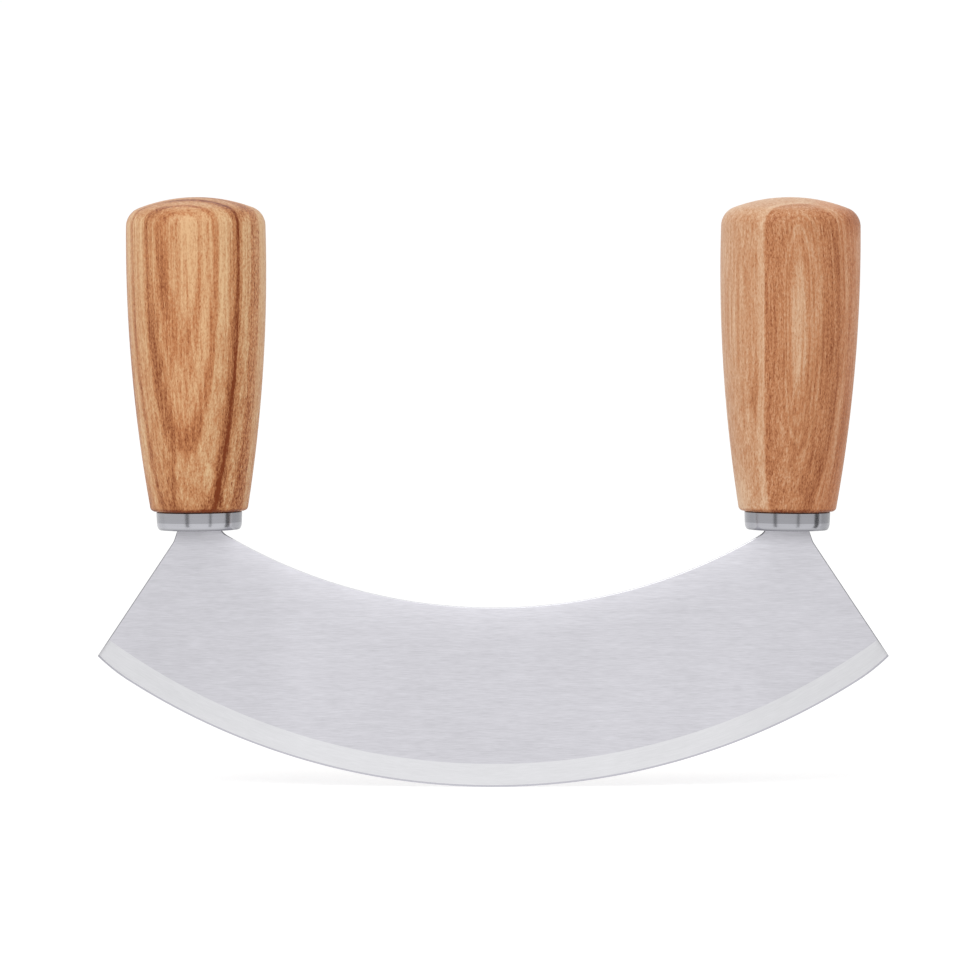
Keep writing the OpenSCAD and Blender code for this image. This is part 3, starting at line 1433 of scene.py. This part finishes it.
    def tree(self, slotted: bool) -> bpy.types.NodeTree:
        """Builds a tree that turns a chain of points, with the radius in X and the height in Z.

        Args:
            slotted: Whether a slot is cut up through the solid's foot.

        Returns:
            The tree.
        """
        inputs = {
            "Section": "NodeSocketGeometry",
            "Steps": "NodeSocketInt",
            "Foot": "NodeSocketVector",
            "Lean": "NodeSocketFloat",
            "Crease": "NodeSocketFloat",
            "Finish": "NodeSocketMaterial",
        }
        if slotted:
            inputs["Slot"] = "NodeSocketVector"
        name = "slotted_turning" if slotted else "turning"
        tree = new_group(name, "GeometryNodeTree", inputs, {"Piece": "NodeSocketGeometry"})
        wires = Wiring(tree)
        given = wires.node("NodeGroupInput").outputs
        solid = self.revolved(wires, given["Section"], given["Steps"])
        if slotted:
            box = wires.node("GeometryNodeMeshCube", {"Size": given["Slot"]}).outputs["Mesh"]
            cut = wires.node("GeometryNodeMeshBoolean", {0: solid, 1: box}, operation="DIFFERENCE")
            solid = cut.outputs["Mesh"]
        bend = wires.node("GeometryNodeInputMeshEdgeAngle").outputs["Unsigned Angle"]
        creased = wires.node("FunctionNodeCompare", {0: bend, 1: given["Crease"]}, operation="GREATER_THAN")
        feeds = {"Geometry": solid, "Shade Smooth": True}
        smooth = wires.node("GeometryNodeSetShadeSmooth", feeds, domain="FACE")
        feeds = {"Geometry": smooth.outputs[0], "Selection": creased.outputs[0], "Shade Smooth": False}
        smooth = wires.node("GeometryNodeSetShadeSmooth", feeds, domain="EDGE")
        feeds = {
            "Geometry": smooth.outputs[0],
            "Translation": given["Foot"],
            "Rotation": wires.join(0.0, given["Lean"], 0.0),
        }
        stood = wires.node("GeometryNodeTransform", feeds)
        whole = wires.node("GeometryNodeRealizeInstances", {0: stood.outputs[0]})
        feeds = {"Geometry": whole.outputs[0], "Material": given["Finish"]}
        dressed = wires.node("GeometryNodeSetMaterial", feeds)
        wires.feed(wires.node("NodeGroupOutput").inputs["Piece"], dressed.outputs[0])
        return tree

    def revolved(self, wires: Wiring, section: Socket, steps: Socket) -> Socket:
        """Adds the nodes that carry a section round the Z axis.

        Args:
            wires: The tree's wiring.
            section: The chain of points.
            steps: Straight steps in one full turn.

        Returns:
            The closed solid.
        """
        size = wires.node("GeometryNodeAttributeDomainSize", {0: section}, component="MESH")
        count = size.outputs["Point Count"]
        columns = wires.math("ADD", steps, 1.0)
        grid = wires.node("GeometryNodeMeshGrid", {"Vertices X": columns, "Vertices Y": count})
        index = wires.node("GeometryNodeInputIndex").outputs[0]
        turn = wires.math("FLOOR", wires.math("DIVIDE", wires.math("ADD", index, 0.5), count))
        along = wires.math("SUBTRACT", index, wires.math("MULTIPLY", turn, count))
        feeds = {"Geometry": section, "Value": wires.node("GeometryNodeInputPosition").outputs[0]}
        sample = wires.node("GeometryNodeSampleIndex", feeds, data_type="FLOAT_VECTOR", domain="POINT")
        wires.feed(sample.inputs["Index"], along)
        radius, _, height = wires.split(sample.outputs[0])
        angle = wires.math("MULTIPLY", wires.math("DIVIDE", turn, steps), math.tau)
        x = wires.math("MULTIPLY", radius, wires.math("SINE", angle))
        y = wires.math("MULTIPLY", radius, wires.math("COSINE", angle))
        feeds = {"Geometry": grid.outputs["Mesh"], "Position": wires.join(x, y, height)}
        placed = wires.node("GeometryNodeSetPosition", feeds).outputs[0]
        feeds = {"Geometry": placed, "Distance": self.SEAM}
        return wires.node("GeometryNodeMergeByDistance", feeds).outputs[0]

    def turn(
        self,
        name: str,
        section: list[Vector],
        seat: Seat,
        finish: bpy.types.Material,
        slot: Vector | None = None,
    ) -> bpy.types.Object:
        """Turns a piece and stands it on its seat.

        Args:
            name: The piece's name.
            section: Radius and height of each point, from one end of the axis to the other.
            seat: Where the piece stands.
            finish: The piece's material.
            slot: Width, thickness and twice the depth of a slot in its foot.

        Returns:
            The piece, with a plain mesh.
        """
        data = bpy.data.meshes.new(name)
        chain = [(i, i + 1) for i in range(len(section) - 1)]
        data.from_pydata([(p.x, 0.0, p.y) for p in section], chain, [])
        piece = bpy.data.objects.new(name, data)
        bpy.context.scene.collection.objects.link(piece)
        tree = self.slotted if slot else self.plain
        modifier = piece.modifiers.new("lathe", "NODES")
        modifier.node_group = tree
        values = {
            "Steps": self.steps,
            "Foot": tuple(seat.foot),
            "Lean": seat.turn,
            "Crease": self.CREASE,
            "Finish": finish,
        }
        if slot:
            values["Slot"] = tuple(slot)
        for item in tree.interface.items_tree:
            if item.in_out == "INPUT" and item.name in values:
                modifier[item.identifier] = values[item.name]
        return self.baked(piece)

    @staticmethod
    def baked(piece: bpy.types.Object) -> bpy.types.Object:
        """Keeps what the modifier makes as the piece's own mesh, with its faces outwards.

        Args:
            piece: The piece, with its modifier.

        Returns:
            The same piece, without it.
        """
        bpy.context.view_layer.update()
        graph = bpy.context.evaluated_depsgraph_get()
        data = bpy.data.meshes.new_from_object(piece.evaluated_get(graph), depsgraph=graph)
        chain = piece.data
        piece.modifiers.clear()
        piece.data = data
        bpy.data.meshes.remove(chain)
        data.name = piece.name
        mesh = bmesh.new()
        mesh.from_mesh(data)
        if mesh.calc_volume(signed=True) < 0:
            bmesh.ops.reverse_faces(mesh, faces=mesh.faces)
        mesh.to_mesh(data)
        mesh.free()
        return piece


@dataclass
class Ferrule:
    """A drawn and turned steel cup under a handle."""

    diameter: float = 0.0217
    height: float = 0.0046
    wall: float = 0.001
    base: float = 0.001
    foot_width: float = 0.0009
    foot_height: float = 0.0019
    taper: float = 0.0001
    lip: float = 0.00018
    slot_width: float = 0.0074
    slot_thickness: float = 0.002
    colour: Colour = (164, 164, 169)

    def section(self) -> list[Vector]:
        """Half of the cup's section.

        Returns:
            Its points, from the middle of the underside to the middle of the inside.
        """
        radius = self.diameter / 2
        foot = []
        for angle in (math.radians(d) for d in range(-90, 0, 10)):
            x = radius - self.taper - self.foot_width * (1 - math.cos(angle))
            foot.append(Vector((x, self.foot_height * (1 + math.sin(angle)))))
        foot.append(Vector((radius - self.taper, self.foot_height)))
        inner = radius - self.wall
        return [
            Vector((0.0, 0.0)),
            *foot,
            Vector((radius, self.height - self.lip)),
            Vector((radius - self.lip, self.height)),
            Vector((inner, self.height)),
            Vector((inner, self.base)),
            Vector((0.0, self.base)),
        ]

    def build(self, lathe: Lathe, seat: Seat, effects: Effects) -> bpy.types.Object:
        """Turns the ferrule, dresses it and ties it to the frame.

        Args:
            lathe: What turns it.
            seat: The handle's seat.
            effects: The shared groups.

        Returns:
            The ferrule.
        """
        foot_mm = self.foot_height / MILLIMETRE
        finish = SteelFinish(
            name=f"{seat.side.word}_turned_steel",
            lay=Lay.AROUND_AXIS,
            colour=self.colour,
            roughness=0.2,
            line_length_mm=9.0,
            line_width_mm=0.12,
            contrast=0.1,
            anisotropy=0.75,
            # Both shades are painted: a painted reflection brightens the foot's round, and painted shade
            # darkens its underside.
            shades=(
                Shade(Along.HEIGHT, foot_mm - 0.1, foot_mm + 0.1, 0.4, 0.0),
                Shade(Along.HEIGHT, 0.2, 0.75, -0.36, 0.0),
            ),
        )
        slot = Vector((self.slot_width, self.slot_thickness, 4 * self.base))
        name = f"{seat.side.word}_ferrule_cup"
        ferrule = lathe.turn(name, self.section(), seat, finish.material(effects, seat), slot)
        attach(ferrule, BODY)
        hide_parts(f"{seat.side.word}_ferrule")
        return ferrule


@dataclass
class TurnedHandle:
    """A turned wooden grip with its spigot and its bore."""

    log: Log
    palette: tuple[Colour, Colour, Colour, Colour]
    contrast: float = 1.0
    crown: float = 0.08389
    diameter: float = 0.03528
    belly_drop: float = 0.0146
    flank_radius: float = 0.385
    dome_radius: float = 0.040
    shoulder_radius: float = 0.005
    foot_round: float = 0.0012
    foot_height: float = 0.00475
    spigot_foot: float = 0.001
    spigot_radius: float = 0.0098
    bore_radius: float = 0.00425
    bore_top: float = 0.054
    long_steps: int = 28
    short_steps: int = 10

    def section(self) -> list[Vector]:
        """Half of the handle's section.

        Returns:
            Its points, from the top of the bore, round the foot, to the crown.
        """
        flank = Vector((self.diameter / 2 - self.flank_radius, self.crown - self.belly_drop))
        dome = Vector((0.0, self.crown - self.dome_radius))
        foot_up = self.foot_height + self.foot_round
        foot_reach = math.sqrt((self.flank_radius - self.foot_round) ** 2 - (flank.y - foot_up) ** 2)
        foot = Vector((flank.x + foot_reach, foot_up))
        shoulder = nested((flank, self.flank_radius), (dome, self.dome_radius), self.shoulder_radius)
        low, high = heading(foot - flank), heading(shoulder - flank)
        top = heading(shoulder - dome)
        points = [
            Vector((0.0, self.bore_top)),
            Vector((self.bore_radius, self.bore_top)),
            Vector((self.bore_radius, self.spigot_foot)),
            Vector((self.spigot_radius, self.spigot_foot)),
            Vector((self.spigot_radius, self.foot_height)),
        ]
        points += arc(foot, self.foot_round, -math.pi / 2, low, self.short_steps)
        points += arc(flank, self.flank_radius, low, high, self.long_steps)[1:]
        points += arc(shoulder, self.shoulder_radius, high, top, self.short_steps)[1:]
        return points + arc(dome, self.dome_radius, top, math.pi / 2, self.long_steps)[1:]

    def build(self, lathe: Lathe, seat: Seat, effects: Effects) -> bpy.types.Object:
        """Turns the handle, dresses it and ties it to the frame.

        Args:
            lathe: What turns it.
            seat: The handle's seat.
            effects: The shared groups.

        Returns:
            The handle.
        """
        wood = f"{seat.side.word}_oiled_wood"
        finish = WoodFinish(wood, self.log, *self.palette, contrast=self.contrast)
        name = f"{seat.side.word}_grip"
        grip = lathe.turn(name, self.section(), seat, finish.material(effects, seat))
        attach(grip, BODY)
        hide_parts(f"{seat.side.word}_handle")
        return grip


def outer_rings(start_mm: float) -> tuple[Ring, ...]:
    """The rings behind what the front shows, which are alike left and right.

    Args:
        start_mm: Where they start.

    Returns:
        The rings.
    """
    tones = (
        (0.0, 0.6),
        (1.6, 0.7),
        (2.6, 0.5),
        (3.2, 0.68),
        (6.0, 0.62),
        (7.2, 0.46),
        (8.0, 0.66),
        (12.0, 0.6),
    )
    return tuple(Ring(start_mm + out, tone) for out, tone in tones)


LEFT_LOG = Log(
    pith=(-6.2, -34.9),
    drift=(-0.1, 1.5),
    bow=(-0.1, -0.55),
    left=(
        Ring(16.4, 0.84, 0.2, 0.5),
        Ring(16.9, 0.59, 0.2, 0.4),
        Ring(17.8, 0.57, 0.2, 0.4),
        Ring(18.3, 0.38, 0.3, 0.4),
        Ring(19.1, 0.34, 0.3, 0.3),
        Ring(19.8, 0.59, 0.2, 0.2),
        Ring(20.4, 0.44),
        Ring(21.6, 0.26, 0.4, 0.1),
        Ring(22.5, 0.38, 0.4, 0.1),
        Ring(23.0, 0.67),
        Ring(26.7, 0.65),
        Ring(27.4, 0.4, 0.3),
        Ring(27.8, 0.42, 0.3),
        Ring(28.8, 0.7),
        Ring(29.6, 0.82),
        Ring(31.6, 0.6),
        Ring(33.6, 0.4, 0.3),
        Ring(37.0, 0.42, 0.3),
        *outer_rings(42.0),
    ),
    right=(
        Ring(16.4, 0.88, 0.2, 0.5),
        Ring(17.5, 0.74, 0.2, 0.5),
        Ring(18.0, 0.54, 0.2, 0.5),
        Ring(18.7, 0.64, 0.2, 0.5),
        Ring(19.6, 0.76, 0.2, 0.5),
        Ring(20.3, 0.73, 0.2, 0.5),
        Ring(21.0, 0.42, 0.2, 0.5),
        Ring(21.5, 0.44, 0.2, 0.4),
        Ring(22.2, 0.79, 0.2, 0.2),
        Ring(24.3, 0.7),
        Ring(25.2, 0.5, 0.3),
        Ring(25.9, 0.26, 0.4, 0.2),
        Ring(26.2, 0.34, 0.4, 0.1),
        Ring(26.6, 0.03, 0.4, 0.3),
        Ring(27.1, 0.0, 0.4, 0.2),
        Ring(27.6, 0.46, 0.4),
        Ring(28.7, 0.67, 0.5),
        Ring(30.9, 0.68, 0.6),
        Ring(31.8, 0.42, 1.0, 0.4),
        Ring(33.0, 0.48, 1.0, 0.4),
        Ring(34.8, 0.54, 1.0, 0.3),
        Ring(36.0, 0.8, 0.4),
        Ring(39.5, 0.76, 0.3),
        *outer_rings(42.0),
    ),
    height_tone=(0.115, 0.14),
    heart_offset=4.7,
    heart_reach=(16.5, 19.1),
    # Painted shade, darker on the crown.
    crown_tone=-0.17,
    streaks=(
        Streak(-5.9, 11.9, -27.0, 1.7, 15.0, -0.3),
        Streak(3.4, 13.0, -27.5, 2.6, 11.0, 0.3),
        Streak(5.6, 11.6, -31.0, 1.6, 8.0, -0.3),
        # Painted light, lighter at the lower left, and painted shade, darker at the top right shoulder.
        Streak(-13.5, 3.0, -22.0, 2.5, 21.0, 0.25),
        Streak(12.0, 9.0, 39.5, 2.2, 4.0, -0.3),
    ),
)

RIGHT_LOG = Log(
    pith=(7.8, -28.9),
    drift=(1.5, -0.9),
    bow=(-3.3, -1.5),
    left=(
        Ring(12.0, 0.9, 0.1),
        Ring(12.3, 0.76, 0.1),
        Ring(12.6, 0.64),
        Ring(13.1, 0.5, 0.2, 0.3),
        Ring(13.35, 0.66, 0.1),
        Ring(13.6, 0.42, 0.2, 0.3),
        Ring(13.9, 0.62, 0.1),
        Ring(14.2, 0.45, 0.3, 0.3),
        Ring(15.4, 0.55, 0.4, 0.2),
        Ring(17.5, 0.48, 0.5, 0.3),
        Ring(19.8, 0.43, 0.5, 0.3),
        Ring(20.1, 0.45, 0.4, 0.3),
        Ring(20.4, 0.74, 0.2, 0.1),
        Ring(21.5, 0.82, 0.2),
        Ring(22.4, 0.65, 0.3),
        Ring(25.5, 0.67, 0.3),
        Ring(28.3, 0.7, 0.2),
        Ring(33.5, 0.73, 0.2),
        Ring(36.0, 0.82, 0.2),
        *outer_rings(39.5),
    ),
    right=(
        Ring(12.0, 0.9, 0.1),
        Ring(12.3, 0.76, 0.1),
        Ring(12.6, 0.62),
        Ring(13.1, 0.48, 0.2, 0.3),
        Ring(13.35, 0.64, 0.1),
        Ring(13.6, 0.4, 0.2, 0.3),
        Ring(13.9, 0.6, 0.1),
        Ring(14.2, 0.42, 0.4, 0.4),
        Ring(14.7, 0.6, 0.1),
        Ring(15.0, 0.46, 0.3, 0.3),
        Ring(15.7, 0.4, 0.5, 0.4),
        Ring(16.8, 0.42, 0.5, 0.4),
        Ring(17.4, 0.34, 0.5, 0.5),
        Ring(17.9, 0.36, 0.5, 0.5),
        Ring(18.4, 0.66, 0.3, 0.6),
        Ring(18.9, 0.52, 0.4, 0.7),
        Ring(19.4, 0.69, 0.2, 0.6),
        Ring(20.1, 0.54, 0.4, 0.7),
        Ring(21.4, 0.5, 0.5, 0.8),
        Ring(23.0, 0.53, 0.5, 0.9),
        Ring(26.0, 0.63, 0.3, 0.9),
        Ring(30.5, 0.63, 0.3, 0.7),
        Ring(31.6, 0.46, 0.3, 0.5),
        Ring(32.6, 0.68, 0.2, 0.3),
        *outer_rings(39.5),
    ),
    height_tone=(0.0, 0.05),
    heart_offset=-7.2,
    heart_reach=(11.7, 19.3),
    # Painted light, lighter on the crown.
    crown_tone=0.15,
    streaks=(
        Streak(-9.1, 13.3, -5.0, 2.1, 13.0, -0.24),
        Streak(5.4, 16.5, 12.5, 2.2, 15.0, 0.18),
        # Painted light, lighter at the lower left, and painted shade, darker at the top right shoulder.
        Streak(-11.5, 4.0, -32.0, 4.0, 14.0, 0.28),
        Streak(15.0, 3.0, 39.0, 7.0, 7.0, -0.42, half_depth_mm=16.0),
    ),
)

LEFT_PALETTE = ((130, 58, 14), (204, 139, 91), (239, 200, 153), (255, 238, 228))
RIGHT_PALETTE = ((134, 64, 24), (203, 140, 96), (238, 200, 164), (255, 238, 228))


@dataclass
class Studio:
    """The pale floor, the soft light, the grey cards that steel reflects, and the camera."""

    aim: tuple[float, float, float] = (-0.00083, 0.0, 0.0752)
    distance: float = 1.5
    elevation: float = math.radians(2.2)
    frame_width: float = 0.24745
    sensor: float = 36.0
    floor_size: float = 14.0
    floor_colour: float = 0.8
    floor_lift: float = 0.4
    soft_level: float = 0.8
    white_lift: float = 0.02
    lamp_size: tuple[float, float] = (1.6, 1.2)
    lamp_power: float = 9.0
    lamp_place: tuple[float, float, float] = (-0.7, -1.5, 1.4)
    far_clip: float = 60.0
    card_distance: float = 1.4
    card_height: float = 0.7
    cards: tuple[tuple[float, float, float], ...] = (
        (-33.0, 10.0, 0.36),
        (30.0, 7.0, 0.43),
        (85.0, 15.0, 0.19),
        (138.0, 72.0, 0.76),
        (-140.0, 70.0, 0.92),
    )

    @staticmethod
    def backdrop_rays(wires: Wiring) -> Socket:
        """Tells the rays that show the white backdrop, which are those of the camera, metal and glass.

        Args:
            wires: The wiring of the world or a material.

        Returns:
            1 for such a ray and 0 for others.
        """
        rays = wires.node("ShaderNodeLightPath").outputs
        either = wires.math("MAXIMUM", rays["Is Camera Ray"], rays["Is Glossy Ray"])
        return wires.math("MAXIMUM", either, rays["Is Transmission Ray"])

    def set_world(self) -> None:
        """Makes the world an even soft light, and white behind the object."""
        world = bpy.data.worlds.new("soft_studio")
        world.use_nodes = True
        world.node_tree.nodes.clear()
        wires = Wiring(world.node_tree)
        white = self.backdrop_rays(wires)
        level = wires.math("MULTIPLY_ADD", white, 1.0 - self.soft_level, self.soft_level)
        camera = wires.node("ShaderNodeLightPath").outputs["Is Camera Ray"]
        level = wires.math("MULTIPLY_ADD", camera, self.white_lift, level)
        back = wires.node("ShaderNodeBackground", {"Strength": level, "Color": (1.0, 1.0, 1.0, 1.0)})
        wires.node("ShaderNodeOutputWorld", {"Surface": back.outputs[0]})
        bpy.context.scene.world = world

    def lay_floor(self) -> None:
        """Lays the floor, which is white to the camera and still takes the object's shadow."""
        material = bpy.data.materials.new("pale_floor")
        material.use_nodes = True
        material.node_tree.nodes.clear()
        wires = Wiring(material.node_tree)
        tone = (self.floor_colour,) * 3 + (1.0,)
        matt = wires.node("ShaderNodeBsdfDiffuse", {"Color": tone})
        lift = wires.math("MULTIPLY", self.backdrop_rays(wires), self.floor_lift)
        glow = wires.node("ShaderNodeEmission", {"Color": (1.0, 1.0, 1.0, 1.0), "Strength": lift})
        both = wires.node("ShaderNodeAddShader", {0: matt.outputs[0], 1: glow.outputs[0]})
        wires.node("ShaderNodeOutputMaterial", {"Surface": both.outputs[0]})
        half = self.floor_size / 2
        corners = [(-half, -half, 0.0), (half, -half, 0.0), (half, half, 0.0), (-half, half, 0.0)]
        floor = self.panel("floor", corners, material)
        floor.visible_glossy = False

    @staticmethod
    def panel(name: str, corners: list[Corner], material: bpy.types.Material) -> bpy.types.Object:
        """Adds a flat panel that isn't part of the object.

        Args:
            name: The panel's name.
            corners: Its four corners, in order.
            material: Its material.

        Returns:
            The panel.
        """
        data = bpy.data.meshes.new(name)
        data.from_pydata(corners, [], [(0, 1, 2, 3)])
        data.materials.append(material)
        panel = bpy.data.objects.new(name, data)
        bpy.context.scene.collection.objects.link(panel)
        return panel

    def stand_cards(self) -> None:
        """Stands the grey cards round the object, where only its steel can see them."""
        for i, (azimuth, width, tone) in enumerate(self.cards):
            material = bpy.data.materials.new(f"card_{i + 1}")
            material.use_nodes = True
            material.node_tree.nodes.clear()
            wires = Wiring(material.node_tree)
            grey = wires.node("ShaderNodeEmission", {"Color": (tone, tone, tone, 1.0)})
            wires.node("ShaderNodeOutputMaterial", {"Surface": grey.outputs[0]})
            away = Vector((math.sin(math.radians(azimuth)), -math.cos(math.radians(azimuth)), 0.0))
            half = self.card_distance * math.tan(math.radians(width / 2))
            across = half * Vector((-away.y, away.x, 0.0))
            middle = away * self.card_distance
            top = Vector((0.0, 0.0, self.card_height))
            ways = (-across - top, across - top, across + top, top - across)
            card = self.panel(f"card_{i + 1}", [tuple(middle + way) for way in ways], material)
            card.visible_camera = False
            card.visible_diffuse = False
            card.visible_shadow = False

    def hang_lamp(self) -> None:
        """Hangs one large soft lamp above and in front."""
        lamp = bpy.data.lights.new("soft_box", "AREA")
        lamp.shape = "RECTANGLE"
        lamp.size, lamp.size_y = self.lamp_size
        lamp.energy = self.lamp_power
        holder = bpy.data.objects.new("soft_box", lamp)
        holder.location = self.lamp_place
        back = holder.location - Vector(self.aim)
        holder.rotation_euler = back.to_track_quat("Z", "Y").to_euler()
        holder.visible_camera = False
        bpy.context.scene.collection.objects.link(holder)

    def set_camera(self) -> None:
        """Stands the camera where the picture was taken from."""
        lens = bpy.data.cameras.new("camera")
        lens.sensor_width = self.sensor
        lens.lens = self.sensor * self.distance / self.frame_width
        lens.clip_end = self.far_clip
        camera = bpy.data.objects.new("camera", lens)
        back = Vector((0.0, -math.cos(self.elevation), math.sin(self.elevation)))
        camera.location = Vector(self.aim) + self.distance * back
        camera.rotation_euler = back.to_track_quat("Z", "Y").to_euler()
        bpy.context.scene.collection.objects.link(camera)
        bpy.context.scene.camera = camera

    def build(self) -> None:
        """Sets up everything round the object."""
        bpy.context.scene.view_settings.view_transform = "Standard"
        self.set_camera()
        self.set_world()
        self.lay_floor()
        self.stand_cards()
        self.hang_lamp()
        LOG.info("studio: camera %.2f m away, %d grey cards", self.distance, len(self.cards))


def report(piece: bpy.types.Object) -> None:
    """Logs a piece and its size."""
    size = " x ".join(f"{1000 * d:.1f}" for d in piece.dimensions)
    LOG.info("%s: %d faces, %s mm", piece.name, len(piece.data.polygons), size)


def main() -> None:
    """Builds the mezzaluna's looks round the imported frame."""
    logging.basicConfig(level=logging.INFO, format="%(name)s: %(message)s")
    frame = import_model()
    Studio().build()
    effects = Effects()
    crescent = CrescentBlade()
    blade = crescent.build()
    crescent.dress(blade, effects)
    report(blade)
    lathe = Lathe()
    resin = ResinFinish().material()
    handles = {
        Side.LEFT: TurnedHandle(LEFT_LOG, LEFT_PALETTE),
        Side.RIGHT: TurnedHandle(RIGHT_LOG, RIGHT_PALETTE, contrast=0.82),
    }
    # The right ferrule's darker colour is painted shade on the same steel.
    ferrules = {Side.LEFT: Ferrule(), Side.RIGHT: Ferrule(colour=(157, 157, 162))}
    for side, handle in handles.items():
        seat = crescent.seat(side)
        report(ferrules[side].build(lathe, seat, effects))
        report(handle.build(lathe, seat, effects))
        plug = frame["nodes"][f"{side.word}_tang_adhesive"]
        plug.data.materials.clear()
        plug.data.materials.append(resin)
        report(plug)


if __name__ == "__main__":
    main()
